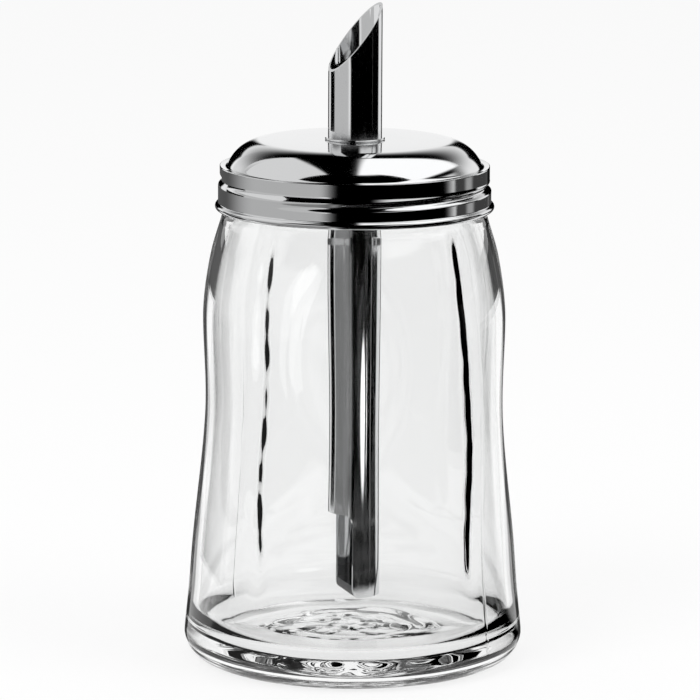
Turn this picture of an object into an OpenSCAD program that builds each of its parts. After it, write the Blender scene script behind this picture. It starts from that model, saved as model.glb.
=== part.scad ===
// Sugar dispenser: a waisted glass jar with a screw cap, and a pour tube through the cap.
// The tube's slanted spout has a gravity flap in its throat, and its lower end is a dosing trough.
// Origin at the middle of the jar's foot, +Z up. Millimetres.

/* [Jar] */
// Height of the glass, from the table to its rim
jar_h = 111.85; // [100:0.05:130]
// Largest radius of the glass, just above the foot
foot_r = 38.8; // [36:0.1:46]
// Radius of the rounded corner between the side and the underside
foot_corner = 5.8; // [3:0.1:8]
// Radius of the round body a third of the way up, on the corner ridges
hip_r = 36.75; // [34:0.05:42]
// Radius of the round body at its shoulder, on the corner ridges
shoulder_r = 35.7; // [33:0.1:38]
// Radius of the glass where the neck begins, just under the cap
throat_r = 30.1; // [28.5:0.1:32]
// Radius of the plain neck under the cap
neck_r = 28.95; // [27:0.05:31]
// Height of the neck, from the throat to the rim
neck_h = 10.05; // [9.5:0.05:14]
// Thickness of the glass in the side wall
glass_wall = 2.6; // [1.8:0.1:3.5]
// Thickness of the glass under the sugar, at the lowest ring of the floor
floor_t = 5.6; // [4:0.1:9]
// Rise of the dished underside at its middle
punt_h = 2.4; // [1:0.1:3.4]
// Radius of the dished underside
punt_r = 24; // [18:0.5:28]

/* [Grip panels] */
// Depth of the four pressed panels at the waist
panel_depth = 2.4; // [0.5:0.1:4]
// Height above the table where the panels begin
panel_low = 22; // [15:1:30]
// Distance from the panels' upper end up to the throat
panel_top_gap = 3.8; // [2:0.1:12]

/* [Cap] */
// Thickness of the sheet steel
sheet = 0.4; // [0.3:0.05:0.6]
// Clearance all round between the neck's thread crest and the cap's upper band
cap_clearance = 0.4; // [0.3:0.05:0.8]
// Height of the dome's shoulder above the ledge
dome_h = 5.9; // [5:0.1:7]
// Radius of the rounded shoulder of the dome
dome_round = 9; // [7:0.1:12]
// Width of the flat ledge between the dome and the band
ledge_w = 1.65; // [1.2:0.05:2.5]
// Height of the band, from the ledge down to the middle of the rolled hem
band_h = 9.05; // [8.8:0.05:9.6]
// Radius of the rolled hem's own round section
hem_r = 0.8; // [0.5:0.05:0.9]
// Rise of the dome's crown between its shoulder and the flat seat round the tube
crown_rise = 0.15; // [0.05:0.05:1.5]
// Swell of the band's lower half beyond its upper half
band_swell = 0.4; // [0.2:0.05:0.6]
// Thickness of the sealing ring under the ledge
seal_t = 0.9; // [0.6:0.1:1.5]

/* [Screw thread] */
// Rise of the cap in one full turn
thread_pitch = 2.9; // [2.6:0.1:3.6]
// Height of the glass thread above the plain neck
thread_h = 0.8; // [0.6:0.05:1]
// Radial overlap between the glass thread and the cap's rolled thread
thread_grip = 0.35; // [0.2:0.05:0.5]
// Direction in which the cap's rolled thread begins, in degrees from +X towards +Y
roll_start = 197; // [0:1:360]
// Height above the hem's middle at which it begins
roll_lift = 3.5; // [3.2:0.1:3.8]
// Turn that the cap's rolled thread runs round the band, in degrees
roll_turn = 360; // [300:10:420]
// Half the width of the rolled groove
roll_half_w = 1.1; // [0.8:0.05:1.2]
// Turn that the glass thread runs round the neck, in degrees
glass_turn = 340; // [300:10:350]

/* [Pour tube] */
// Outer radius of the tube
tube_r = 6.1; // [5.2:0.1:8]
// Thickness of the tube's wall
tube_wall = 0.45; // [0.3:0.05:0.7]
// Overall height of the dispenser, at the tip of the spout
tip_z = 150; // [144:0.5:165]
// Slope of the slanted mouth above level, in degrees
mouth_slope = 51.4; // [40:0.2:60]
// Height of the tube's lower end above the table
tube_low_z = 14.2; // [12:0.1:24]
// Direction that the spout's tip points in, in degrees from +X towards +Y
spout_azimuth = 17; // [0:1:90]
// Direction of the tube's seam from its spout's tip, in degrees
seam_turn = -71; // [-180:1:180]
// Width of the seam's fine groove down the tube
seam_w = 0.3; // [0.2:0.05:0.5]
// Depth of the seam's fine groove
seam_depth = 0.12; // [0.05:0.01:0.2]
// Width of the collar bead beyond the tube
collar_w = 0.65; // [0.4:0.05:1.5]
// Height of the collar bead on the cap
collar_h = 0.5; // [0.3:0.1:1.5]
// Width of the washer beyond the tube, inside the cap
washer_w = 3.2; // [2:0.1:6]
// Thickness of the washer
washer_t = 0.8; // [0.5:0.1:1.5]

/* [Dosing trough] */
// Height of the side window, from the tube's lower end
window_h = 19.1; // [12:0.1:30]
// Distance from the tube's axis to the window's flat cut
window_offset = 2.15; // [1.5:0.05:3]
// Radius in the window's upper corners
window_corner = 2.3; // [1:0.1:3]
// Radius on the trough's two lower corners
trough_corner = 1.4; // [0.6:0.1:2.4]
// Height of the plug that closes the trough
plug_h = 2.6; // [1.5:0.1:5]

/* [Spout flap] */
// Slope of the closed flap above level, in degrees
flap_slope = 40; // [35:1:45]
// Depth of the flap's pin below the lip of the mouth
pin_drop = 2.1; // [1.6:0.1:4]
// Distance from the tube's axis to the pin
pin_offset = 3.9; // [3.6:0.05:4]
// Radius of the pin
pin_r = 0.5; // [0.4:0.05:0.6]
// Thickness of the flap's sheet
flap_t = 0.5; // [0.3:0.05:0.6]
// Half the width of the flap
flap_half_w = 4.55; // [4.2:0.05:4.6]
// Gap between the closed flap's upper end and the tube's far wall
flap_gap = 0.4; // [0.3:0.05:0.8]
// Radius of the flap's rolled hinge barrel
barrel_r = 0.95; // [0.85:0.05:1.05]
// Length of the hinge barrel
barrel_len = 5; // [4:0.1:5.2]

/* [Hidden] */

eps = 0.01;
run_gap = 0.06;          // running clearance of the flap's barrel round its pin
fit_gap = 0.02;          // clearance of a piece that is fixed in a hole
round_fn = 96;           // facets shown for true round surfaces
jar_points = 64;         // points round each ring of the jar
band_points = 72;        // points round each ring of the cap's threaded band

steel = [0.74, 0.75, 0.76];
dark_steel = [0.5, 0.51, 0.52];

// Jar: heights and radii between the places named above
throat_z = jar_h - neck_h;
panel_high = throat_z - panel_top_gap;
heel_z = 18;
heel_flare = 0.4;        // share of the foot's extra radius that is left at the heel
hip_z = 32;
shoulder_z = throat_z - 23.8;
collar_z = throat_z - 9.8;
collar_flare = 2.9;      // extra radius just under the throat
waist_swell = 0.12;

// The round body's radius runs smoothly through these heights and radii
body_keys = [[foot_corner, foot_r], [heel_z, hip_r + heel_flare * (foot_r - hip_r)],
             [hip_z, hip_r],
             [(hip_z + shoulder_z) / 2, (hip_r + shoulder_r) / 2 + waist_swell],
             [shoulder_z, shoulder_r], [collar_z, throat_r + collar_flare], [throat_z, throat_r]];

function key_slope(i) =
    let (last = len(body_keys) - 1, a = body_keys[max(i - 1, 0)], b = body_keys[min(i + 1, last)])
    (b[1] - a[1]) / (b[0] - a[0]);

function key_below(z, i = 0) =
    i >= len(body_keys) - 2 || z < body_keys[i + 1][0] ? i : key_below(z, i + 1);

// Cubic through the keys, with each key's slope taken from its neighbours
function body_r(z) =
    let (i = key_below(z), a = body_keys[i], b = body_keys[i + 1], h = b[0] - a[0],
         t = (z - a[0]) / h, t2 = t * t, t3 = t2 * t)
    (2 * t3 - 3 * t2 + 1) * a[1] + (t3 - 2 * t2 + t) * h * key_slope(i)
    + (3 * t2 - 2 * t3) * b[1] + (t3 - t2) * h * key_slope(i + 1);

// Depth of the panels at a height: none at both ends, deepest half way
function panel_in(z) =
    z <= panel_low || z >= panel_high ? 0
    : panel_depth * pow(sin(180 * (z - panel_low) / (panel_high - panel_low)), 2);

// A ring is [height, radius on the ridges, depth at the panels' middles]
function steps(from, to, count) = [for (i = [0:count]) from + (to - from) * i / count];

rim_round = 0.65;
neck_bore = neck_r - glass_wall;
neck_foot = 2;           // height of the flare between the throat and the plain neck
bore_foot = 1.5;         // height of the same flare inside
floor_round = 7;
floor_edge_r = body_r(floor_t + floor_round) - glass_wall - floor_round;
punt_step = 3;           // width of the slope between the foot's ring and the dish
floor_ring_r = 21;       // radius of the low ring pressed in the floor
floor_rise = 1.5;        // rise of the floor from that ring to its middle

outer_rings = concat(
    [for (a = [30:30:90])
        [punt_h * (1 + cos(a)) / 2, (punt_r - punt_step) * sin(a), 0]],
    [[0, punt_r, 0]],
    [for (a = steps(-90, 0, 5))
        [foot_corner * (1 + sin(a)), foot_r - foot_corner * (1 - cos(a)), 0]],
    [for (z = steps(foot_corner, throat_z, 23)) [z, body_r(z), panel_in(z)]],
    [[throat_z + neck_foot / 2, (throat_r + neck_r) / 2 - 0.1, 0],
     [throat_z + neck_foot, neck_r, 0]],
    [for (a = [0:45:90]) [jar_h - rim_round * (1 - sin(a)), neck_r - rim_round * (1 - cos(a)), 0]]);

inner_rings = concat(
    [for (a = [90:-45:0])
        [jar_h - rim_round * (1 - sin(a)), neck_bore + rim_round * (1 - cos(a)), 0]],
    [[throat_z + bore_foot, neck_bore, 0]],
    [for (z = steps(throat_z - bore_foot, floor_t + floor_round, 18))
        [z, body_r(z) - glass_wall, panel_in(z)]],
    [for (a = [-22.5:-22.5:-90])
        [floor_t + floor_round * (1 + sin(a)), floor_edge_r + floor_round * cos(a), 0]],
    [[floor_t, floor_ring_r, 0]],
    [for (a = [60:-30:30]) [floor_t + floor_rise * pow(cos(a), 2), floor_ring_r * sin(a), 0]]);

// A closed skin of rings from the middle of the underside to the middle of the floor
module ring_skin(rings, low_z, high_z) {
    n = jar_points;
    count = len(rings);
    points = concat(
        [[0, 0, low_z]],
        [for (ring = rings) for (k = [0:n - 1])
            let (a = 360 * k / n, r = ring[1] - ring[2] * (1 + cos(4 * a)) / 2)
            [r * cos(a), r * sin(a), ring[0]]],
        [[0, 0, high_z]]);
    top = len(points) - 1;
    faces = concat(
        [for (k = [0:n - 1]) [0, 1 + k, 1 + (k + 1) % n]],
        [for (i = [0:count - 2]) for (k = [0:n - 1])
            let (p = 1 + i * n + k, q = 1 + i * n + (k + 1) % n) [p, p + n, q]],
        [for (i = [0:count - 2]) for (k = [0:n - 1])
            let (p = 1 + i * n + k, q = 1 + i * n + (k + 1) % n) [q, p + n, q + n]],
        [for (k = [0:n - 1]) let (s = 1 + (count - 1) * n) [top, s + (k + 1) % n, s + k]]);
    polyhedron(points, faces, convexity = 8);
}

// Cap: its heights hang from the jar's rim and the sealing ring on it
crest_r = neck_r + thread_h;
ledge_z = jar_h + seal_t + sheet;
band_r = crest_r + cap_clearance + sheet;
roll_r = band_r + band_swell;
roll_floor_r = crest_r - thread_grip + sheet;
dome_foot_r = band_r - ledge_w;
dome_sink = dome_round - dome_h;
dome_foot_turn = asin(dome_sink / dome_round);
dome_mid_r = dome_foot_r - dome_round * cos(dome_foot_turn);
crown_z = ledge_z + dome_h + crown_rise;
crown_r = tube_r + washer_w + 1;
hem_z = ledge_z - band_h;
hem_mid_r = roll_r - sheet / 2 + 0.1;
lip_h = 1.2;             // plain height of the band under the ledge
swell_top = 2.7;         // distance from the ledge down to where the band starts to swell
swell_foot = 4.6;        // distance from the ledge down to where it is full

// Both threads wind right-handed round +Z. A direction beyond 360 degrees is the next turn.
fade_turn = 22.5;        // turn over which the end of a thread runs out
thread_step = 7.5;       // turn between two sections of the glass thread
thread_root_w = 1.6;
thread_tip_w = 0.7;
lead_turn = 140;         // turn by which the glass thread begins before the rolled one

function roll_z(a) = hem_z + roll_lift + thread_pitch * (a - roll_start) / 360;
function fade(a, from, to) = max(0, min(1, (a - from) / fade_turn, (to - a) / fade_turn));

// Outer radius of the band before its thread is rolled in
function band_out(z) =
    let (t = (ledge_z - z - swell_top) / (swell_foot - swell_top))
    band_r + band_swell * (1 - cos(180 * min(1, max(0, t)))) / 2;

// Depth of the rolled groove in one direction and at one height
function groove_in(a, z) =
    let (from = roll_start, to = roll_start + roll_turn, t = (z - roll_z(a)) / roll_half_w)
    abs(t) >= 1 ? 0
    : (band_out(z) - roll_floor_r) * fade(a, from, to) * (1 + cos(180 * t)) / 2;

function sheet_out(a, z) =
    band_out(z) - groove_in(a, z) - groove_in(a + 360, z);

function dome_arc(r, from, to, count) =
    [for (a = steps(from, to, count)) [dome_mid_r + r * cos(a), ledge_z - dome_sink + r * sin(a)]];

// The glass thread: one ridge whose ends run out to nothing
module glass_thread() {
    from = roll_start - lead_turn;
    to = from + glass_turn;
    sink = 0.2;
    sections = round((to - from) / thread_step);
    points = [for (a = steps(from, to, sections))
        let (f = fade(a, from, to), z = roll_z(a) + thread_pitch / 2,
             tip_r = neck_r + thread_h * max(f, 0.05), tip = thread_tip_w / 2 * max(f, 0.4),
             root = thread_root_w / 2)
        for (p = [[neck_r - sink, -root], [tip_r, -tip], [tip_r, tip], [neck_r - sink, root]])
            [p[0] * cos(a), p[0] * sin(a), z + p[1]]];
    last = 4 * sections;
    quads = [for (i = [0:sections - 1]) for (k = [0:3])
        let (p = 4 * i + k, q = 4 * i + (k + 1) % 4) [p, q, q + 4, p + 4]];
    faces = concat([for (f = quads) [f[0], f[1], f[2]]], [for (f = quads) [f[0], f[2], f[3]]],
                   [[0, 3, 2], [0, 2, 1], [last, last + 1, last + 2], [last, last + 2, last + 3]]);
    polyhedron(points, faces, convexity = 8);
}

// The threaded band: a sheet tube whose two skins follow the rolled groove, and whose ends
// sit inside the plain rings above and below it
module threaded_band() {
    n = band_points;
    rows = 14;
    overlap = 0.3;
    tuck_out = 0.08;
    tuck_in = 0.15;
    heights = steps(ledge_z - lip_h + overlap, hem_z + lip_h - overlap, rows);
    outer = [for (i = [0:rows]) [heights[i], i == 0 || i == rows ? -tuck_out : 0]];
    inner = [for (i = [rows:-1:0]) [heights[i], -sheet + (i == 0 || i == rows ? tuck_in : 0)]];
    loop = concat(outer, inner);
    count = len(loop);
    points = [for (p = loop) for (k = [0:n - 1])
        let (a = 360 * k / n, r = sheet_out(a, p[0]) + p[1])
        [r * cos(a), r * sin(a), p[0]]];
    faces = concat(
        [for (i = [0:count - 1]) for (k = [0:n - 1])
            let (p = i * n, q = (i + 1) % count * n, l = (k + 1) % n) [p + k, p + l, q + k]],
        [for (i = [0:count - 1]) for (k = [0:n - 1])
            let (p = i * n, q = (i + 1) % count * n, l = (k + 1) % n) [p + l, q + l, q + k]]);
    polyhedron(points, faces, convexity = 10);
}

module glass_jar() {
    color([0.86, 0.92, 0.92, 0.45])
        union() {
            ring_skin(concat(outer_rings, inner_rings), punt_h, floor_t + floor_rise);
            glass_thread();
        }
}

module seal_ring() {
    seal_out = band_r - sheet - 0.4;
    seal_in = neck_bore + rim_round;
    color("white")
        translate([0, 0, jar_h])
            difference() {
                cylinder(h = seal_t, r = seal_out, $fn = round_fn);
                translate([0, 0, -eps])
                    cylinder(h = seal_t + 2 * eps, r = seal_in, $fn = round_fn);
            }
}

module screw_cap() {
    hole_r = tube_r + fit_gap;
    outline = concat(
        [[hole_r, crown_z], [crown_r, crown_z]],
        dome_arc(dome_round, 90, dome_foot_turn, 9),
        [[band_r, ledge_z], [band_r, ledge_z - lip_h],
         [band_r - sheet, ledge_z - lip_h], [band_r - sheet, ledge_z - sheet],
         [dome_foot_r - sheet, ledge_z - sheet]],
        dome_arc(dome_round - sheet, dome_foot_turn, 90, 9),
        [[crown_r, crown_z - sheet], [hole_r, crown_z - sheet]]);
    color(steel) {
        rotate_extrude($fn = round_fn) {
            polygon(outline);
            translate([roll_r - sheet, hem_z])
                square([sheet, lip_h]);
            translate([hem_mid_r, hem_z])
                circle(r = hem_r, $fn = 32);
        }
        threaded_band();
    }
}

// The tube's own frame: the spout's tip points along +X
module spout_frame() {
    rotate([0, 0, spout_azimuth])
        children();
}

tube_bore = tube_r - tube_wall;
lip_z = tip_z - 2 * tube_r * tan(mouth_slope);
pin_z = lip_z - pin_drop;

module tube_collar() {
    color(steel)
        translate([0, 0, crown_z])
            rotate_extrude($fn = round_fn)
                translate([tube_r + fit_gap, 0]) {
                    square([collar_w - collar_h / 2, collar_h]);
                    translate([collar_w - collar_h / 2, collar_h / 2])
                        circle(d = collar_h, $fn = 24);
                }
}

module tube_washer() {
    color(dark_steel)
        translate([0, 0, crown_z - sheet - washer_t])
            difference() {
                cylinder(h = washer_t, r = tube_r + washer_w, $fn = round_fn);
                translate([0, 0, -eps])
                    cylinder(h = washer_t + 2 * eps, r = tube_r + fit_gap, $fn = round_fn);
            }
}

// Side view of what the window takes away, in the tube's X and Z
module window_outline() {
    side = 2 * tube_r;
    below = 1;
    translate([-side, -below])
        square([side - window_offset, below + window_h - window_corner]);
    translate([-side, -below])
        square([side - window_offset - window_corner, below + window_h]);
    translate([-window_offset - window_corner, window_h - window_corner])
        circle(r = window_corner, $fn = 48);
    difference() {
        translate([-window_offset - eps, -below])
            square([trough_corner + eps, below + trough_corner]);
        translate([-window_offset + trough_corner, trough_corner])
            circle(r = trough_corner, $fn = 48);
    }
}

module window_cut() {
    translate([0, 0, tube_low_z])
        rotate([90, 0, 0])
            linear_extrude(height = 4 * tube_r, center = true)
                window_outline();
}

module pin_bar(r, half_len) {
    translate([-pin_offset, 0, pin_z])
        rotate([90, 0, 0])
            cylinder(h = 2 * half_len, r = r, center = true, $fn = 48);
}

module pour_tube() {
    long = 3 * tube_r;
    color(steel)
        spout_frame()
            difference() {
                translate([0, 0, tube_low_z])
                    cylinder(h = tip_z - tube_low_z, r = tube_r, $fn = round_fn);
                translate([0, 0, tube_low_z - 1])
                    cylinder(h = tip_z - tube_low_z + 2, r = tube_bore, $fn = round_fn);
                translate([-tube_r, 0, lip_z])
                    rotate([0, -mouth_slope, 0])
                        translate([-long, -long, 0])
                            cube([3 * long, 2 * long, 2 * long]);
                window_cut();
                pin_bar(pin_r + fit_gap, 2 * tube_r);
                rotate([0, 0, seam_turn])
                    translate([tube_r - seam_depth, -seam_w / 2, tube_low_z - 1])
                        cube([1, seam_w, tip_z]);
            }
}

module dosing_plug() {
    color([0.12, 0.12, 0.13])
        spout_frame()
            difference() {
                translate([0, 0, tube_low_z])
                    cylinder(h = plug_h, r = tube_bore - fit_gap, $fn = round_fn);
                window_cut();
            }
}

// The pin's ends are ground flush with the tube
module flap_pin() {
    color(dark_steel)
        spout_frame()
            intersection() {
                pin_bar(pin_r, tube_r);
                translate([0, 0, pin_z - 2 * pin_r])
                    cylinder(h = 4 * pin_r, r = tube_r, $fn = round_fn);
            }
}

// The closed flap is an ellipse that fills the bore's length on its slope
module spout_flap() {
    reach = (tube_bore - flap_gap) / cos(flap_slope);
    middle = pin_offset / cos(flap_slope);
    color(steel)
        spout_frame()
            difference() {
                union() {
                    translate([-pin_offset, 0, pin_z])
                        rotate([0, -flap_slope, 0])
                            translate([middle, 0, -flap_t / 2])
                                linear_extrude(height = flap_t)
                                    polygon([for (a = [0:6:354])
                                        [reach * cos(a), flap_half_w * sin(a)]]);
                    pin_bar(barrel_r, barrel_len / 2);
                }
                pin_bar(pin_r + run_gap, tube_r);
            }
}

glass_jar();
seal_ring();
screw_cap();
tube_collar();
tube_washer();
pour_tube();
dosing_plug();
flap_pin();
spout_flap();
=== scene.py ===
import math

import bmesh
import bpy
import numpy as np
from mathutils import Matrix, Vector


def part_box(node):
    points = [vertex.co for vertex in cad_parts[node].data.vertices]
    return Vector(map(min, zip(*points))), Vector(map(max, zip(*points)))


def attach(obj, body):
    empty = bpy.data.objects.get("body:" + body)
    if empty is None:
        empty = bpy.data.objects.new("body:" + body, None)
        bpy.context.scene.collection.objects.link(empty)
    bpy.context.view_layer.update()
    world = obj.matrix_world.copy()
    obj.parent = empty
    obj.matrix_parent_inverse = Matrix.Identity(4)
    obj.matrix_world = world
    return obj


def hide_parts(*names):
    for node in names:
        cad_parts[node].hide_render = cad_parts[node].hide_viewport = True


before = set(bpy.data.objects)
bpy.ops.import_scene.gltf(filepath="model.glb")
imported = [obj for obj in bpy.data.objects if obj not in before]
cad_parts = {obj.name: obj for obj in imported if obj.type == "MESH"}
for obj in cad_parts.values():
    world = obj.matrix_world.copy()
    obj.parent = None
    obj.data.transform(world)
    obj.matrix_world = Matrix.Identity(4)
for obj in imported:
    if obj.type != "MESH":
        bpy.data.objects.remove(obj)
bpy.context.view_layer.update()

MM = 0.001


def top_of(node):
    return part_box(node)[1].z / MM


def foot_of(node):
    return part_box(node)[0].z / MM


# Sizes in millimetres: the first ones come from the frame, the others repeat the part's source
JAR_H = top_of("glass_jar")
FOOT_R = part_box("glass_jar")[1].x / MM
SHEET = 0.4
LEDGE_Z = top_of("seal_ring") + SHEET
CROWN_Z = foot_of("tube_collar")
TIP_Z = top_of("pour_tube")
TUBE_LOW_Z = foot_of("pour_tube")

FOOT_CORNER = 5.8
HIP_R = 36.75
SHOULDER_R = 35.7
THROAT_R = 30.1
NECK_R = 28.95
NECK_H = 10.05
GLASS_WALL = 2.6
FLOOR_T = 5.6
PUNT_H = 2.4
PUNT_R = 24.0
PANEL_DEPTH = 2.4
PANEL_LOW = 22.0
THROAT_Z = JAR_H - NECK_H
PANEL_END = 3.8
PANEL_HIGH = THROAT_Z - PANEL_END
RIM_ROUND = 0.65
NECK_BORE = NECK_R - GLASS_WALL
FLOOR_ROUND = 7.0
FLOOR_RING_R = 21.0
FLOOR_RISE = 1.5

THREAD_PITCH = 2.9
THREAD_H = 0.8
THREAD_ROOT_W = 1.6
THREAD_TIP_W = 0.7
THREAD_GRIP = 0.35
ROLL_START = 197.0
ROLL_TURN = 360.0
ROLL_HALF_W = 1.2
# Turns at which the rolled groove begins to deepen and reaches its full depth
ROLL_RUN_IN = (20.0, 150.0)
FADE_TURN = 22.5
LEAD_TURN = 140.0
GLASS_TURN = 340.0
CREST_R = NECK_R + THREAD_H

CAP_GAP = 0.4
BAND_R = CREST_R + CAP_GAP + SHEET
BAND_SWELL = 0.4
ROLL_R = BAND_R + BAND_SWELL
ROLL_FLOOR_R = CREST_R - THREAD_GRIP + SHEET
LEDGE_W = 1.65
DOME_H = 5.9
DOME_ROUND = 9.0
DOME_SINK = DOME_ROUND - DOME_H
DOME_FOOT_R = BAND_R - LEDGE_W
DOME_MID_R = DOME_FOOT_R - math.sqrt(DOME_ROUND**2 - DOME_SINK**2)
BAND_DROP = 9.05
HEM_Z = LEDGE_Z - BAND_DROP
HEM_R = 0.8
HEM_MID_R = ROLL_R - SHEET / 2 + 0.1
ROLL_LIFT = 3.5
ROLL_Z = HEM_Z + ROLL_LIFT

TUBE_R = 6.1
TUBE_WALL = 0.45
TUBE_BORE = TUBE_R - TUBE_WALL
MOUTH_SLOPE = math.radians(51.4)
SPOUT_AZIMUTH = math.radians(17)
SEAM_TURN = math.radians(-71)
SEAM_DEPTH = 0.12
SEAM_HALF_W = 0.15
WINDOW_H = 19.1
WINDOW_OFFSET = 2.15
WINDOW_CORNER = 2.3
TROUGH_CORNER = 1.4

# Where the photograph was taken from: the direction is counted from +X towards +Y
CAMERA_AZIMUTH = math.radians(-93)
CAMERA_AWAY = 1.0
CAMERA_HEIGHT = 0.2593
CAMERA_PITCH = 0.1864
CAMERA_YAW = 0.0009
CAMERA_ROLL = 0.0047
FOCAL_PIXELS = 4465.4
PHOTO_SIDE = 700


# Materials
def new_material(name):
    material = bpy.data.materials.new(name)
    material.use_nodes = True
    nodes = material.node_tree.nodes
    return material, nodes, material.node_tree.links, nodes["Principled BSDF"]


def object_noise(nodes, links, scale, detail=3.0, stretch=(1, 1, 1)):
    coords = nodes.new("ShaderNodeTexCoord")
    mapping = nodes.new("ShaderNodeMapping")
    mapping.inputs["Scale"].default_value = stretch
    noise = nodes.new("ShaderNodeTexNoise")
    noise.inputs["Scale"].default_value = scale
    noise.inputs["Detail"].default_value = detail
    links.new(coords.outputs["Object"], mapping.inputs["Vector"])
    links.new(mapping.outputs["Vector"], noise.inputs["Vector"])
    return noise.outputs["Fac"]


def spread(nodes, links, factor, low, high):
    """The factor's middle range spread from low to high"""
    rng = nodes.new("ShaderNodeMapRange")
    rng.inputs["From Min"].default_value = 0.3
    rng.inputs["From Max"].default_value = 0.7
    rng.inputs["To Min"].default_value = low
    rng.inputs["To Max"].default_value = high
    links.new(factor, rng.inputs["Value"])
    return rng.outputs["Result"]


def add_bump(nodes, links, shader, height, strength, distance):
    bump = nodes.new("ShaderNodeBump")
    bump.inputs["Strength"].default_value = strength
    bump.inputs["Distance"].default_value = distance
    links.new(height, bump.inputs["Height"])
    links.new(bump.outputs["Normal"], shader.inputs["Normal"])


def steel_material(name, colour, rough_low, rough_high, grain, stretch):
    material, nodes, links, shader = new_material(name)
    shader.inputs["Metallic"].default_value = 1.0
    shader.inputs["Base Color"].default_value = (*colour, 1)
    wear = object_noise(nodes, links, grain, 6.0, stretch)
    links.new(spread(nodes, links, wear, rough_low, rough_high), shader.inputs["Roughness"])
    ripple = object_noise(nodes, links, 70.0, 2.0)
    add_bump(nodes, links, shader, ripple, 0.1, 0.00008)
    return material


def glass_material():
    material, nodes, links, shader = new_material("clear_glass")
    shader.inputs["Base Color"].default_value = (0.99, 0.993, 0.992, 1)
    shader.inputs["Roughness"].default_value = 0.0
    shader.inputs["IOR"].default_value = 1.52
    shader.inputs["Transmission Weight"].default_value = 1.0
    ripple = object_noise(nodes, links, 45.0, 1.0)
    add_bump(nodes, links, shader, ripple, 0.12, 0.0006)
    return material


def plastic_material(name, colour, rough_low, rough_high):
    material, nodes, links, shader = new_material(name)
    tint = nodes.new("ShaderNodeMix")
    tint.data_type = "RGBA"
    tint.inputs["A"].default_value = (*colour, 1)
    tint.inputs["B"].default_value = (*(0.86 * c for c in colour), 1)
    links.new(object_noise(nodes, links, 400.0), tint.inputs["Factor"])
    links.new(tint.outputs["Result"], shader.inputs["Base Color"])
    grain = object_noise(nodes, links, 2500.0, 2.0)
    links.new(spread(nodes, links, grain, rough_low, rough_high), shader.inputs["Roughness"])
    add_bump(nodes, links, shader, grain, 0.2, 0.00003)
    return material


POLISHED = steel_material("polished_steel", (0.74, 0.745, 0.75), 0.05, 0.1, 300.0, (1, 1, 1))
TUBE_STEEL = steel_material("tube_steel", (0.72, 0.725, 0.73), 0.05, 0.11, 900.0, (1, 1, 0.05))
PLAIN_STEEL = steel_material("plain_steel", (0.56, 0.56, 0.57), 0.22, 0.36, 1500.0, (1, 1, 0.1))
GLASS = glass_material()
SEAL = plastic_material("seal_plastic", (0.82, 0.82, 0.79), 0.42, 0.55)
PLUG = plastic_material("plug_plastic", (0.016, 0.016, 0.018), 0.3, 0.45)


# Meshes
def make_object(name, points, faces, sharp_angle=None):
    mesh = bpy.data.meshes.new(name)
    mesh.from_pydata((np.asarray(points) * MM).tolist(), [], faces)
    shape = bmesh.new()
    shape.from_mesh(mesh)
    bmesh.ops.recalc_face_normals(shape, faces=shape.faces)
    shape.to_mesh(mesh)
    shape.free()
    mesh.polygons.foreach_set("use_smooth", [True] * len(mesh.polygons))
    if sharp_angle is not None:
        mesh.set_sharp_from_angle(angle=math.radians(sharp_angle))
    made = bpy.data.objects.new(name, mesh)
    bpy.context.scene.collection.objects.link(made)
    return made


def stand_for(piece, node, body, material):
    piece.data.materials.append(material)
    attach(piece, body)
    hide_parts(node)
    return piece


def ring_faces(rings, columns, closed_loop):
    """Quads between rings of points, and from the last ring to the first one on a closed loop"""
    faces = []
    for i in range(rings if closed_loop else rings - 1):
        a, b = i * columns, (i + 1) % rings * columns
        for k in range(columns):
            m = (k + 1) % columns
            faces.append((a + k, a + m, b + m, b + k))
    return faces


def smooth_step(t):
    return (1 - np.cos(np.pi * np.clip(t, 0, 1))) / 2


# Jar: the same form as the CAD solid's, with fine rings, its floor's pressed rings and its mould seam
HIP_Z = 32.0
SHOULDER_DROP = 23.8
SHOULDER_Z = THROAT_Z - SHOULDER_DROP
# Heights and radii that the jar's outline passes through
BODY_KEYS = np.array([
    (FOOT_CORNER, FOOT_R),
    (18, HIP_R + 0.4 * (FOOT_R - HIP_R)),
    (HIP_Z, HIP_R),
    ((HIP_Z + SHOULDER_Z) / 2, (HIP_R + SHOULDER_R) / 2 + 0.12),
    (SHOULDER_Z, SHOULDER_R),
    (THROAT_Z - 9.8, THROAT_R + 2.9),
    (THROAT_Z, THROAT_R),
])


def body_radius(z):
    """Cubic through the keys, with each key's slope taken from its neighbours"""
    last = len(BODY_KEYS) - 1
    slopes = [
        (BODY_KEYS[min(i + 1, last)][1] - BODY_KEYS[max(i - 1, 0)][1])
        / (BODY_KEYS[min(i + 1, last)][0] - BODY_KEYS[max(i - 1, 0)][0])
        for i in range(last + 1)
    ]
    i = min(max(int(np.searchsorted(BODY_KEYS[:, 0], z, side="right")) - 1, 0), last - 1)
    (z0, r0), (z1, r1) = BODY_KEYS[i], BODY_KEYS[i + 1]
    h = z1 - z0
    t = (z - z0) / h
    return (
        (2 * t**3 - 3 * t**2 + 1) * r0
        + (t**3 - 2 * t**2 + t) * h * slopes[i]
        + (3 * t**2 - 2 * t**3) * r1
        + (t**3 - t**2) * h * slopes[i + 1]
    )


def panel_in(z):
    if z <= PANEL_LOW or z >= PANEL_HIGH:
        return 0.0
    return PANEL_DEPTH * math.sin(math.pi * (z - PANEL_LOW) / (PANEL_HIGH - PANEL_LOW)) ** 2


def arc(centre_z, centre_r, radius, start, stop, count):
    """Points (height, radius from the axis) of an arc; the angles are in degrees from outwards"""
    angles = np.radians(np.linspace(start, stop, count))
    return [(centre_z + radius * math.sin(a), centre_r + radius * math.cos(a)) for a in angles]


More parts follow.
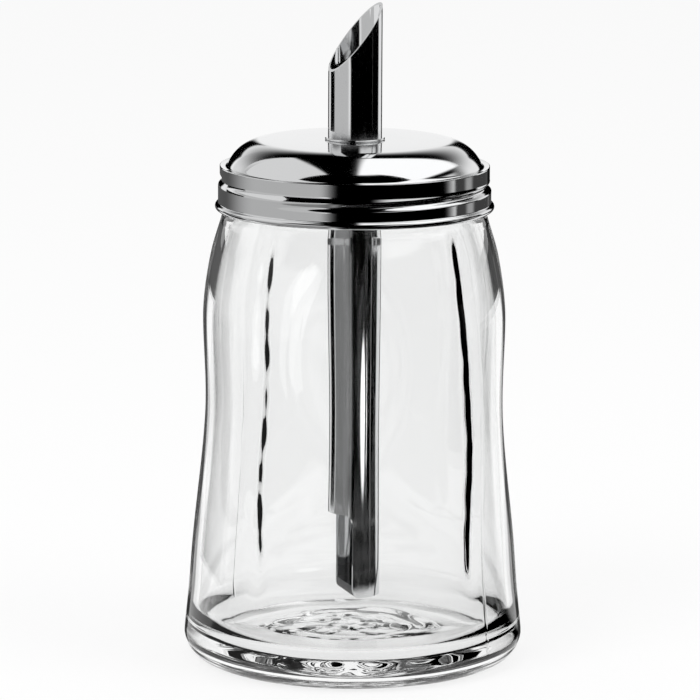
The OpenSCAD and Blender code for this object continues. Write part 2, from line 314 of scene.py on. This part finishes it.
SEAM_AZIMUTHS = np.radians([-41.0, 139.0])
MOULD_SEAM_H = 0.16
MOULD_SEAM_HALF_W = 0.35
MOULD_SEAM_TOP = 70.0
MOULD_SEAM_FADE = 15.0
JAR_COLUMNS = 256
# Turns from a seam, in degrees, at which it has columns of its own
NEAR_SEAM = (-0.9, -0.5, 0.0, 0.5, 0.9)
SEAM_CLEAR = 0.3


def jar_columns():
    """Directions of the jar's columns, closer together at the mould's two seams"""
    plain = np.linspace(-math.pi, math.pi, JAR_COLUMNS, endpoint=False)
    near = np.concatenate([s + np.radians(NEAR_SEAM) for s in SEAM_AZIMUTHS])
    plain = [a for a in plain if np.min(np.abs(near - a)) > math.radians(SEAM_CLEAR)]
    return np.sort(np.concatenate([plain, near]))


def seam_ridge(angles, radius, z):
    """Height of the mould's seam round a ring; it was polished away higher up"""
    ridge = np.zeros_like(angles)
    for seam in SEAM_AZIMUTHS:
        away = np.abs(angles - seam) * radius / MOULD_SEAM_HALF_W
        ridge += MOULD_SEAM_H * smooth_step(1 - away)
    return ridge * smooth_step((MOULD_SEAM_TOP - z) / MOULD_SEAM_FADE)


# The corners where two panels meet, with a bead of thicker glass inside
CORNER_AZIMUTHS = np.radians([-131.5, -43.0, 45.0, 135.0])
BEAD_HEIGHTS = (0.8, 0.9, 0.15, 0.15)
BEAD_HALF_W = 3.1
BEAD_LOW, BEAD_HIGH = 17.0, 104.0
BEAD_RUN_IN, BEAD_RUN_OUT = 16.0, 12.0
BEAD_SWAY = 0.7
BEAD_UNEVEN = 0.3
PANEL_THINNER = 0.35


def extra_wall(angles, z):
    """Glass beyond the plain wall inside: less in the panels' middles, and a bead in each corner"""
    t = np.clip((z - PANEL_LOW) / (PANEL_HIGH - PANEL_LOW), 0, 1)
    extra = -PANEL_THINNER * math.sin(math.pi * t) ** 2 * np.cos(4 * angles)
    run_in = smooth_step((z - BEAD_LOW) / BEAD_RUN_IN)
    run_out = smooth_step((BEAD_HIGH - z) / BEAD_RUN_OUT)
    for i, corner in enumerate(CORNER_AZIMUTHS):
        sway = BEAD_SWAY * math.sin(z / 9 + 2 * i)
        uneven = BEAD_UNEVEN * math.sin(z / 1.9 + i) * math.sin(z / 5.1 + 3 * i)
        away = (angles - corner + math.pi) % (2 * math.pi) - math.pi
        across = np.abs(away * (SHOULDER_R - GLASS_WALL) - sway) / BEAD_HALF_W
        extra += run_in * run_out * BEAD_HEIGHTS[i] * (1 + uneven) * smooth_step(1 - across)
    return extra


# The pressed base: two grooved rings and a step in the floor, a raised ring under it, and waves
GROOVE_RADII = (6.5, 13.5)
GROOVE_DEPTH, GROOVE_W = 0.3, 1.1
FLOOR_STEP_H, FLOOR_STEP_W = 0.5, 1.2
UNDER_RING_R, UNDER_RING_H, UNDER_RING_W = 15.0, 0.25, 1.2
BASE_WAVES_H = 0.22
BASE_WAVES_R = 23.0


def ring_profile(r, at, height, width):
    return height * math.exp(-(((r - at) / width) ** 2))


def floor_height(r):
    """Height of the floor inside, with its low ring, its rise and two fine pressed rings"""
    t = min(r / FLOOR_RING_R, 1)
    grooves = sum(ring_profile(r, at, GROOVE_DEPTH, GROOVE_W) for at in GROOVE_RADII)
    step = FLOOR_STEP_H * float(smooth_step((FLOOR_RING_R - FLOOR_STEP_W - r) / FLOOR_STEP_W))
    return FLOOR_T + (FLOOR_RISE - FLOOR_STEP_H) * (1 - t * t) + step - grooves


def underside_height(r):
    """Height of the dished underside, with a fine raised ring"""
    dish = PUNT_H * (1 + math.cos(math.pi * min(r / PUNT_R, 1))) / 2
    return dish + ring_profile(r, UNDER_RING_R, UNDER_RING_H, UNDER_RING_W)


def roll_height(a):
    return ROLL_Z + THREAD_PITCH * (a - ROLL_START) / 360


def fade(a, start, stop):
    return np.clip(np.minimum((a - start) / FADE_TURN, (stop - a) / FADE_TURN), 0, 1)


def thread_out(degrees, z):
    """Height of the glass thread at these directions and one height"""
    start = ROLL_START - LEAD_TURN
    height = np.zeros_like(degrees)
    for a in (degrees, degrees + 360):
        side = np.abs(z - roll_height(a) - THREAD_PITCH / 2)
        flank = np.clip((THREAD_ROOT_W / 2 - side) * 2 / (THREAD_ROOT_W - THREAD_TIP_W), 0, 1)
        height += THREAD_H * fade(a, start, start + GLASS_TURN) * flank
    return height


def base_waves(angles, r):
    """Slight unevenness of the pressed base; its foot ring stays flat"""
    rise = smooth_step(r / 8) * smooth_step((BASE_WAVES_R - r) / 4)
    return BASE_WAVES_H * rise * (np.sin(3 * angles + r / 4) + np.sin(7 * angles - r / 3)) / 2


# What shapes a row of the jar beyond its plain ring
PLAIN, OUTSIDE, INSIDE, THREAD, BASE = range(5)
POLE_R = 0.6
NECK_ROUND = 2.0


def jar_outside():
    """Rows (height, radius, what is laid on them) from the underside's middle up to the rim"""
    rim_z = JAR_H - RIM_ROUND
    foot = arc(FOOT_CORNER, FOOT_R - FOOT_CORNER, FOOT_CORNER, -90, 0, 16)
    neck_z = THROAT_Z + NECK_ROUND
    rows = [(underside_height(r), r, BASE) for r in np.linspace(POLE_R, PUNT_R - 0.4, 26)]
    rows += [(z, r, PLAIN) for z, r in foot]
    rows += [(z, body_radius(z), OUTSIDE) for z in np.linspace(FOOT_CORNER, THROAT_Z, 92)[1:]]
    rows += [(THROAT_Z + NECK_ROUND / 2, (THROAT_R + NECK_R) / 2 - 0.1, PLAIN)]
    rows += [(neck_z, NECK_R, PLAIN)]
    rows += [(z, NECK_R, THREAD) for z in np.linspace(neck_z + 0.2, rim_z - 0.1, 38)]
    rows += [(z, r, PLAIN) for z, r in arc(rim_z, NECK_R - RIM_ROUND, RIM_ROUND, 0, 90, 6)]
    return rows


def jar_inside():
    """Rows from the rim down to the floor's middle"""
    rim_z = JAR_H - RIM_ROUND
    corner_z = FLOOR_T + FLOOR_ROUND
    corner_r = body_radius(corner_z) - GLASS_WALL - FLOOR_ROUND
    throat = 1.5
    rows = [(z, r, PLAIN) for z, r in arc(rim_z, NECK_BORE + RIM_ROUND, RIM_ROUND, 90, 180, 6)]
    rows += [(THROAT_Z + throat, NECK_BORE, PLAIN)]
    heights = np.linspace(THROAT_Z - throat, corner_z, 84)
    rows += [(z, body_radius(z) - GLASS_WALL, INSIDE) for z in heights]
    rows += [(z, r, BASE) for z, r in arc(corner_z, corner_r, FLOOR_ROUND, -6, -84, 14)]
    rows += [(floor_height(r), r, BASE) for r in np.linspace(FLOOR_RING_R, POLE_R, 30)]
    return rows


def jar_ring(z, r, laid, angles):
    """Radii and heights of one row's points"""
    ring, heights = np.full_like(angles, r), np.full_like(angles, z)
    if laid in (OUTSIDE, INSIDE):
        ring -= panel_in(z) * (1 + np.cos(4 * angles)) / 2
    if laid == OUTSIDE:
        ring += seam_ridge(angles, r, z)
    elif laid == INSIDE:
        ring -= extra_wall(angles, z)
    elif laid == THREAD:
        ring += thread_out(np.degrees(angles) % 360, z)
    elif laid == BASE:
        heights += base_waves(angles, r)
    return ring, heights


def make_jar():
    angles = jar_columns()
    rows = jar_outside() + jar_inside()
    points = []
    for z, r, laid in rows:
        ring, heights = jar_ring(z, r, laid, angles)
        points += zip(ring * np.cos(angles), ring * np.sin(angles), heights)
    columns = len(angles)
    faces = ring_faces(len(rows), columns, closed_loop=False)
    for first, z in ((0, underside_height(0)), ((len(rows) - 1) * columns, floor_height(0))):
        points.append((0, 0, z))
        middle = len(points) - 1
        faces += [(first + k, first + (k + 1) % columns, middle) for k in range(columns)]
    jar = make_object("jar_glass", points, faces)
    return stand_for(jar, "glass_jar", "jar", GLASS)


# Cap
SWELL_DROP, SWELL_H = 2.7, 1.9
CAP_COLUMNS = 320
# Corners of the ledge, outwards and upwards from the dome's foot and from the band's top
FOOT_FILLET = ((0.02, 0.12), (0.14, 0.02), (0.4, -0.02))
LEDGE_EDGE = ((-0.5, 0.04), (-0.25, 0.16), (-0.1, 0.2), (0.0, 0.12), (0.01, -0.06))


def band_out(z):
    """Outer radius of the band before its thread is rolled in"""
    return BAND_R + BAND_SWELL * smooth_step((LEDGE_Z - z - SWELL_DROP) / SWELL_H)


def groove_in(degrees, z):
    """Depth of the rolled thread's groove at these directions and one height"""
    first, full = ROLL_RUN_IN
    depth = np.zeros_like(degrees)
    for a in (degrees, degrees + 360):
        across = np.abs(z - roll_height(a)) / ROLL_HALF_W
        profile = np.where(across < 1, (1 + np.cos(np.pi * across)) / 2, 0)
        run = fade(a, ROLL_START, ROLL_START + ROLL_TURN)
        run = run * smooth_step((a - ROLL_START - first) / (full - first))
        depth += (band_out(z) - ROLL_FLOOR_R) * run * profile
    return depth


def dome_skin(offset):
    """The dome's outer skin, or the inner one for an offset of the sheet's thickness"""
    hole = TUBE_R + 0.02
    flat_r = TUBE_R + 2.2
    crown_r = TUBE_R + 4.2
    rise = CROWN_Z - LEDGE_Z - DOME_H
    slope_start = math.degrees(math.atan(2 * rise / (DOME_MID_R - crown_r)))
    foot_turn = math.degrees(math.asin(DOME_SINK / DOME_ROUND))
    crown = CROWN_Z - offset
    radius = DOME_ROUND - offset
    dome = arc(LEDGE_Z - DOME_SINK, DOME_MID_R, radius, 90 - slope_start, foot_turn + 2, 30)
    dome_z, dome_r = dome[0]
    run = np.linspace(crown_r, dome_r, 14)[1:-1]
    rows = [(hole, crown), (flat_r, crown), (crown_r, crown)]
    rows += [(r, crown - (crown - dome_z) * ((r - crown_r) / (dome_r - crown_r)) ** 2) for r in run]
    rows += [(r, z) for z, r in dome]
    return rows


def cap_outline():
    """Rows (radius, height, whether the thread is rolled in), outside downwards, then inside upwards"""
    outer = [(r, z, False) for r, z in dome_skin(0.0)]
    outer += [(DOME_FOOT_R + out, LEDGE_Z + up, False) for out, up in FOOT_FILLET]
    outer += [(BAND_R + out, LEDGE_Z + up, False) for out, up in LEDGE_EDGE]
    band = np.linspace(LEDGE_Z - 0.4, HEM_Z + 0.95, 52)
    outer += [(band_out(z), z, True) for z in band]
    outer += [(r, z, False) for z, r in arc(HEM_Z, HEM_MID_R, HEM_R, 78, -205, 30)]
    under_z = LEDGE_Z - SHEET
    inner = [(band_out(z) - SHEET, z, True) for z in band[::-1]]
    inner += [(BAND_R - SHEET, under_z, False), (DOME_FOOT_R - SHEET, under_z, False)]
    inner += [(r, z, False) for r, z in reversed(dome_skin(SHEET))]
    return outer + inner


def make_cap():
    degrees = np.linspace(0, 360, CAP_COLUMNS, endpoint=False)
    angles = np.radians(degrees)
    points = []
    outline = cap_outline()
    for r, z, rolled in outline:
        ring = r - (groove_in(degrees, z) if rolled else 0) + np.zeros_like(angles)
        points += [(q * math.cos(a), q * math.sin(a), z) for q, a in zip(ring, angles)]
    faces = ring_faces(len(outline), len(angles), closed_loop=True)
    cap = make_object("cap_shell", points, faces, sharp_angle=60)
    return stand_for(cap, "screw_cap", "cap", POLISHED)


# Pour tube: each column is a direction, with its own lower and upper end
def window_top(x):
    """Height of the window's upper edge above the tube's low end, x being along the spout"""
    corner_x = -WINDOW_OFFSET - WINDOW_CORNER
    if x <= corner_x:
        return WINDOW_H
    reach = max(WINDOW_CORNER**2 - (x - corner_x) ** 2, 0)
    return WINDOW_H - WINDOW_CORNER + math.sqrt(reach)


def trough_foot(x):
    """Height of the trough's cut lower corner above the tube's low end"""
    corner_x = -WINDOW_OFFSET + TROUGH_CORNER
    if x >= corner_x:
        return 0.0
    reach = max(TROUGH_CORNER**2 - (x - corner_x) ** 2, 0)
    return TROUGH_CORNER - math.sqrt(reach)


# Columns at the tube's seam and clear of it, in half widths of the seam from its middle
TUBE_SEAM_COLUMNS = (-1.5, -1, -0.3, 0.3, 1, 1.5)
TUBE_SEAM_CLEAR = 2.2
TROUGH_COLUMNS, WINDOW_COLUMNS = 90, 56
LOW_ROWS, MID_ROWS, HIGH_ROWS = 14, 8, 40
UPPER_POINTS = MID_ROWS - 1 + HIGH_ROWS
TROUGH_TOP = WINDOW_H - WINDOW_CORNER
MID_TOP = WINDOW_H + 1.5


def tube_directions(radius):
    """Directions of the columns that stand in the trough, and of those over the window"""
    edge = math.acos(-WINDOW_OFFSET / radius)
    half_w = SEAM_HALF_W / TUBE_R
    plain = np.linspace(-edge, edge, TROUGH_COLUMNS)
    plain = [a for a in plain if abs(a - SEAM_TURN) > TUBE_SEAM_CLEAR * half_w]
    seam = SEAM_TURN + np.array(TUBE_SEAM_COLUMNS) * half_w
    window = np.linspace(edge, 2 * math.pi - edge, WINDOW_COLUMNS)[1:-1]
    return np.sort(np.concatenate([plain, seam])), window


def tube_column(a, radius, in_trough):
    """Points up one column of a skin, from its lower end to the mouth"""
    in_seam = radius == TUBE_R and abs(a - SEAM_TURN) < SEAM_HALF_W / TUBE_R / 2
    x = radius * math.cos(a)
    r = radius - (SEAM_DEPTH if in_seam else 0)
    mouth = TIP_Z - TUBE_LOW_Z - (TUBE_R - x) * math.tan(MOUTH_SLOPE)
    if in_trough:
        foot = trough_foot(max(x, -WINDOW_OFFSET))
        heights = [*np.linspace(foot, TROUGH_TOP, LOW_ROWS)[:-1]]
        mid_foot = TROUGH_TOP
    else:
        heights = []
        mid_foot = window_top(min(x, -WINDOW_OFFSET))
    heights += [*np.linspace(mid_foot, MID_TOP, MID_ROWS)[:-1]]
    heights += [*np.linspace(MID_TOP, mouth, HIGH_ROWS)]
    return [(r * math.cos(a), r * math.sin(a), TUBE_LOW_Z + z) for z in heights]


def column_quads(left, right):
    """Quads between two columns of point numbers"""
    return [(left[j], right[j], right[j + 1], left[j + 1]) for j in range(len(left) - 1)]


def tube_faces(skins, in_trough):
    """Faces of both skins, the mouth, the feet and the trough's two cut sides

    The count of trough columns is the outer skin's. The inner skin has one more, which is
    joined like a window column, so one narrow strip inside the tube is skewed.
    """
    def low(skin, k):
        return skins[skin][k][:LOW_ROWS]

    def high(skin, k):
        start = LOW_ROWS - 1 if k < in_trough else 0
        return skins[skin][k][start:start + UPPER_POINTS]

    faces = []
    count = len(skins[0])
    for k in range(count):
        m = (k + 1) % count
        both_in_trough = k < in_trough and m < in_trough
        for skin in (0, 1):
            faces += column_quads(high(skin, k), high(skin, m))
            if both_in_trough:
                faces += column_quads(low(skin, k), low(skin, m))
        foot = low if both_in_trough else high
        faces.append((high(0, k)[-1], high(0, m)[-1], high(1, m)[-1], high(1, k)[-1]))
        faces.append((foot(0, k)[0], foot(0, m)[0], foot(1, m)[0], foot(1, k)[0]))
    for k in (0, in_trough - 1):
        faces += column_quads(low(0, k), low(1, k))
    return faces


def round_edges(piece, width):
    bevel = piece.modifiers.new("edge", "BEVEL")
    bevel.width = width * MM
    bevel.segments = 2
    bevel.limit_method = "ANGLE"
    bevel.angle_limit = math.radians(50)


def make_tube():
    points, skins = [], []
    for radius in (TUBE_R, TUBE_BORE):
        trough, window = tube_directions(radius)
        skin = []
        for k, a in enumerate([*trough, *window]):
            column = tube_column(a, radius, k < len(trough))
            skin.append(range(len(points), len(points) + len(column)))
            points += column
        skins.append(skin)
    turn = np.array(Matrix.Rotation(SPOUT_AZIMUTH, 3, "Z"))
    faces = tube_faces(skins, len(tube_directions(TUBE_R)[0]))
    tube = make_object("tube_shell", np.array(points) @ turn.T, faces, sharp_angle=35)
    round_edges(tube, 0.07)
    return stand_for(tube, "pour_tube", "cap", TUBE_STEEL)


def dress_cad_nodes():
    """Materials for the CAD nodes that stay, and fine rounded edges on most of them"""
    looks = {
        "seal_ring": (SEAL, 0.15),
        "tube_collar": (POLISHED, 0),
        "tube_washer": (PLAIN_STEEL, 0.1),
        "dosing_plug": (PLUG, 0.12),
        "flap_pin": (TUBE_STEEL, 0),
        "spout_flap": (POLISHED, 0.08),
    }
    for name, (material, edge) in looks.items():
        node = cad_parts[name]
        node.data.materials.clear()
        node.data.materials.append(material)
        if edge:
            round_edges(node, edge)


# Studio: everything here is stage
FLOOR_REACH = 3.0
FLOOR_SHOWN_WHITE = 0.82


def seen_directly(nodes, links):
    """One for rays that show the background: camera, glossy and transmission rays"""
    path = nodes.new("ShaderNodeLightPath")
    first = nodes.new("ShaderNodeMath")
    first.operation = "MAXIMUM"
    links.new(path.outputs["Is Camera Ray"], first.inputs[0])
    links.new(path.outputs["Is Glossy Ray"], first.inputs[1])
    both = nodes.new("ShaderNodeMath")
    both.operation = "MAXIMUM"
    links.new(first.outputs[0], both.inputs[0])
    links.new(path.outputs["Is Transmission Ray"], both.inputs[1])
    return both.outputs[0]


def make_floor():
    s = FLOOR_REACH / MM
    floor = make_object("studio_floor", [(-s, -s, 0), (s, -s, 0), (s, s, 0), (-s, s, 0)], [(0, 1, 2, 3)])
    floor.location.z = -0.00005
    material, nodes, links, shader = new_material("pale_floor")
    shader.inputs["Base Color"].default_value = (0.86, 0.86, 0.86, 1)
    shader.inputs["Roughness"].default_value = 0.9
    shader.inputs["Specular IOR Level"].default_value = 0.0
    glow = nodes.new("ShaderNodeEmission")
    glow.inputs["Strength"].default_value = 1.0
    share = nodes.new("ShaderNodeMath")
    share.operation = "MULTIPLY"
    share.inputs[1].default_value = FLOOR_SHOWN_WHITE
    links.new(seen_directly(nodes, links), share.inputs[0])
    mix = nodes.new("ShaderNodeMixShader")
    links.new(share.outputs[0], mix.inputs["Fac"])
    links.new(shader.outputs["BSDF"], mix.inputs[1])
    links.new(glow.outputs["Emission"], mix.inputs[2])
    links.new(mix.outputs["Shader"], nodes["Material Output"].inputs["Surface"])
    floor.data.materials.append(material)


def make_world():
    world = bpy.data.worlds.new("studio")
    bpy.context.scene.world = world
    world.use_nodes = True
    nodes, links = world.node_tree.nodes, world.node_tree.links
    background = nodes["Background"]
    background.inputs["Color"].default_value = (1, 1, 1, 1)
    strength = nodes.new("ShaderNodeMapRange")
    strength.inputs["To Min"].default_value = 0.75
    strength.inputs["To Max"].default_value = 1.0
    links.new(seen_directly(nodes, links), strength.inputs["Value"])
    links.new(strength.outputs["Result"], background.inputs["Strength"])


def card_material(name, level, gates):
    """A lit or black card whose edges fade out, seen only by rays beyond these Light Path counts"""
    material = bpy.data.materials.new(name)
    material.use_nodes = True
    nodes, links = material.node_tree.nodes, material.node_tree.links
    nodes.clear()
    out = nodes.new("ShaderNodeOutputMaterial")
    glow = nodes.new("ShaderNodeEmission")
    glow.inputs["Color"].default_value = (1, 1, 1, 1)
    glow.inputs["Strength"].default_value = level
    clear = nodes.new("ShaderNodeBsdfTransparent")
    edge = nodes.new("ShaderNodeAttribute")
    edge.attribute_name = "solid"
    amount = edge.outputs["Fac"]
    for count, least in gates.items():
        path = nodes.new("ShaderNodeLightPath")
        passed = nodes.new("ShaderNodeMath")
        passed.operation = "GREATER_THAN"
        passed.inputs[1].default_value = least
        links.new(path.outputs[count], passed.inputs[0])
        both = nodes.new("ShaderNodeMath")
        both.operation = "MULTIPLY"
        links.new(amount, both.inputs[0])
        links.new(passed.outputs[0], both.inputs[1])
        amount = both.outputs[0]
    mix = nodes.new("ShaderNodeMixShader")
    links.new(amount, mix.inputs["Fac"])
    links.new(clear.outputs["BSDF"], mix.inputs[1])
    links.new(glow.outputs["Emission"], mix.inputs[2])
    links.new(mix.outputs["Shader"], out.inputs["Surface"])
    return material


def edge_fade(count, shares):
    """One in the middle, falling to nothing over these shares of the width at its two ends"""
    place = np.linspace(0, 1, count)
    first, last = shares
    fade_in = smooth_step(place / first) if first else np.ones(count)
    fade_out = smooth_step((1 - place) / last) if last else np.ones(count)
    return fade_in * fade_out


CARD_COLUMNS, CARD_ROWS = 64, 36
SOFT = (0.05, 0.05)
HARD = (0, 0)
# Straight views through the glass pass the cards; the lens shows only behind the whole wall
AFTER_MIRROR = {"Glossy Depth": 0.5}
IN_THE_JAR = {"Glossy Depth": 0.5, "Transmission Depth": 2.5}


def make_card(name, point, across, along, level, soft=(SOFT, SOFT), gates=AFTER_MIRROR):
    """A card whose points are worked out from two ranges; soft is how its edges fade in each"""
    us, vs = np.linspace(*across, CARD_COLUMNS), np.linspace(*along, CARD_ROWS)
    points = [point(u, v) for v in vs for u in us]
    faces = []
    for i in range(CARD_ROWS - 1):
        row = range(i * CARD_COLUMNS, (i + 1) * CARD_COLUMNS)
        next_row = range(row.stop, row.stop + CARD_COLUMNS)
        faces += column_quads(row, next_row)
    mesh = bpy.data.meshes.new(name)
    mesh.from_pydata(points, [], faces)
    solid = edge_fade(CARD_COLUMNS, soft[0]) * edge_fade(CARD_ROWS, soft[1])[:, None]
    values = mesh.attributes.new("solid", "FLOAT", "POINT")
    values.data.foreach_set("value", solid.ravel())
    mesh.materials.append(card_material(name, level, gates))
    card = bpy.data.objects.new(name, mesh)
    bpy.context.scene.collection.objects.link(card)
    card.visible_camera = False
    card.visible_diffuse = False
    card.visible_shadow = False
    card.visible_volume_scatter = False


# Heights in metres: the middle of the arches and dome, the foot of what the spout reflects and
# the foot of what the band reflects; then the lane of plain backdrop behind the object
CAP_LEVEL = 0.115
TUBE_LEVEL = 0.1
BAND_LEVEL = 0.072
LANE_HALF_W = 0.041
LANE_END = 0.45


def from_camera(side, front, z):
    """A place given by metres to the camera's right and metres towards the camera"""
    c, d = math.cos(CAMERA_AZIMUTH), math.sin(CAMERA_AZIMUTH)
    return (front * c - side * d, front * d + side * c, z)


def around(turn, radius, z):
    """A place given by degrees to the right of the camera's direction"""
    a = math.radians(turn)
    return from_camera(radius * math.sin(a), radius * math.cos(a), z)


def beside_lane(spread, back, z):
    """A place behind the object and beside its lane of backdrop, which widens by these degrees"""
    side = LANE_HALF_W + back * math.tan(math.radians(abs(spread)))
    return from_camera(math.copysign(side, spread), -back, z)


def wall_card(name, turn, heights, radius, level, soft=(SOFT, SOFT)):
    """Part of an upright cylinder round the object"""
    make_card(name, lambda u, v: around(u, radius, v), turn, heights, level, soft)


def floor_card(name, turn, reach, z, level, soft=(SOFT, SOFT)):
    """Part of a flat ring round the object"""
    make_card(name, lambda u, v: around(u, v, z), turn, reach, level, soft)


def dome_card(name, turn, tilt, radius, level, soft=(SOFT, SOFT)):
    """Part of a dome; tilt is in degrees above the cap"""
    def point(u, v):
        t = math.radians(v)
        return around(u, radius * math.cos(t), CAP_LEVEL + radius * math.sin(t))
    make_card(name, point, turn, tilt, level, soft)


def lens_card(name, turn, half_turn, heights, radius, level):
    """An upright card that is pointed at both ends"""
    low, high = heights

    def point(u, v):
        width = math.sqrt(math.sin(math.pi * min(max((v - low) / (high - low), 0), 1)))
        return around(turn + u * half_turn * width, radius, v)
    make_card(name, point, (-1, 1), heights, level, ((0.15, 0.15), HARD), IN_THE_JAR)


def arch_card(name, lean, along, radius, level, soft=(SOFT, SOFT)):
    """Part of an arch over the object; lean is in degrees to the right, along is towards the camera"""
    def point(u, v):
        a = math.radians(u)
        return from_camera(radius * math.sin(a), radius * v, CAP_LEVEL + radius * math.cos(a))
    make_card(name, point, lean, along, level, soft)


def lane_cards(spread, z, level):
    """A strip on the floor beside the lane and its end standing up, on both sides"""
    edges = (0.12, 0.2)
    for side in (-1, 1):
        across = (side * spread[0], side * spread[1])
        make_card(f"lane_floor_{side + 1}", lambda u, v: beside_lane(u, v, z), across,
                  (-0.02, LANE_END), level, (edges, (0.03, 0)))
        make_card(f"lane_wall_{side + 1}", lambda u, v: beside_lane(u, LANE_END, v), across,
                  (0.0, 0.16), level, (edges, (0, 0.1)))


def make_cards():
    """Each card has its range in degrees, its second range, its place, its level and its soft edges"""
    # Overhead: two softboxes under a dark ceiling that fades out towards the backdrop
    dome_card("ceiling", (-180, 180), (10, 90), 0.95, 0.0, (HARD, (0.42, 0)))
    dome_card("front_ceiling", (-130, 130), (4, 60), 0.9, 0.0, ((0.1, 0.1), (0.1, 0.1)))
    arch_card("left_softbox", (-82, -20), (-1.42, 1.5), 0.8, 0.84, ((0.06, 0.05), (0.04, 0.04)))
    arch_card("right_softbox", (0.5, 59), (-0.68, 1.5), 0.8, 1.32, ((0.07, 0.07), (0.06, 0.06)))
    # What the spout reflects
    wall_card("spout_front", (-21, 118), (TUBE_LEVEL, 0.138), 0.14, 0.0, ((0.03, 0.03), (0, 0.04)))
    wall_card("spout_left", (-97, -21), (TUBE_LEVEL, 0.135), 0.16, 0.62, ((0.02, 0.15), (0, 0.08)))
    wall_card("spout_far_left", (-128, -95), (TUBE_LEVEL, 0.12), 0.155, 0.0, ((0.1, 0.1), HARD))
    # What the band of the cap reflects
    low = (BAND_LEVEL, TUBE_LEVEL)
    wall_card("band_front", (-28, 90), low, 0.14, 0.0, ((0.13, 0.14), HARD))
    wall_card("band_left", (-176, -8), low, 0.16, 0.54, ((0.05, 0.06), HARD))
    wall_card("band_far_left", (-176, -84), low, 0.155, 0.1, ((0.05, 0.5), HARD))
    wall_card("band_right", (84, 152), low, 0.15, 0.06, ((0.05, 0.2), HARD))
    wall_card("band_streak", (96, 112), low, 0.148, 0.4, ((0.4, 0.4), HARD))
    wall_card("groove_streak", (12, 108), (0.14, 0.176), 0.138, 0.95, ((0.2, 0.2), (0.1, 0.3)))
    # What the glass and the tube in it reflect
    under = (-0.01, BAND_LEVEL)
    wall_card("glass_front", (-30, 118), under, 0.14, 0.0, ((0.16, 0.05), HARD))
    wall_card("glass_left", (-97, -12), under, 0.16, 0.26, ((0.1, 0.1), HARD))
    wall_card("glass_far_left", (-128, -95), under, 0.155, 0.0, ((0.1, 0.1), HARD))
    lens_card("glass_lens", 40, 14, (0.012, 0.054), 0.12, 1.9)
    floor_card("front_floor", (-21, 118), (0.046, 0.14), 0.0004, 0.0)
    floor_card("left_floor", (-97, -21), (0.046, 0.16), 0.0004, 0.3)
    # Beside the backdrop: what the edges of the cap and of the glass show
    for side in (-1, 1):
        turn = (180 + 8 * side, 180 + 36 * side)
        name = f"back_flag_{side + 1}"
        wall_card(name, turn, (BAND_LEVEL, 0.2), 0.26, 0.0, ((0.12, 0.12), (0, 0.1)))
    lane_cards((5, 27), 0.0008, 0.07)


def add_lamp(name, place, size, power):
    light = bpy.data.lights.new(name, "AREA")
    light.shape = "DISK"
    light.size = size
    light.energy = power
    lamp = bpy.data.objects.new(name, light)
    bpy.context.scene.collection.objects.link(lamp)
    lamp.location = place
    aim = Vector((0, 0, 0.07)) - Vector(place)
    lamp.rotation_euler = aim.to_track_quat("-Z", "Y").to_euler()
    lamp.visible_camera = False
    lamp.visible_glossy = False
    lamp.visible_transmission = False


def make_camera():
    data = bpy.data.cameras.new("photo_camera")
    data.sensor_width = 36.0
    data.lens = FOCAL_PIXELS / PHOTO_SIDE * data.sensor_width
    data.clip_end = 20
    camera = bpy.data.objects.new("photo_camera", data)
    bpy.context.scene.collection.objects.link(camera)
    place = Vector((
        CAMERA_AWAY * math.cos(CAMERA_AZIMUTH),
        CAMERA_AWAY * math.sin(CAMERA_AZIMUTH),
        CAMERA_HEIGHT,
    ))
    heading = CAMERA_AZIMUTH + math.pi / 2 + CAMERA_YAW
    turn = (
        Matrix.Rotation(heading, 4, "Z")
        @ Matrix.Rotation(math.pi / 2 - CAMERA_PITCH, 4, "X")
        @ Matrix.Rotation(CAMERA_ROLL, 4, "Z")
    )
    camera.matrix_world = Matrix.Translation(place) @ turn
    bpy.context.scene.camera = camera


make_jar()
make_cap()
make_tube()
dress_cad_nodes()
make_floor()
make_world()
make_cards()
add_lamp("key_lamp", (-0.7, -0.8, 1.1), 0.8, 9.0)
add_lamp("fill_lamp", (0.9, -0.5, 0.9), 0.8, 5.0)
make_camera()
bpy.context.scene.view_settings.view_transform = "Standard"
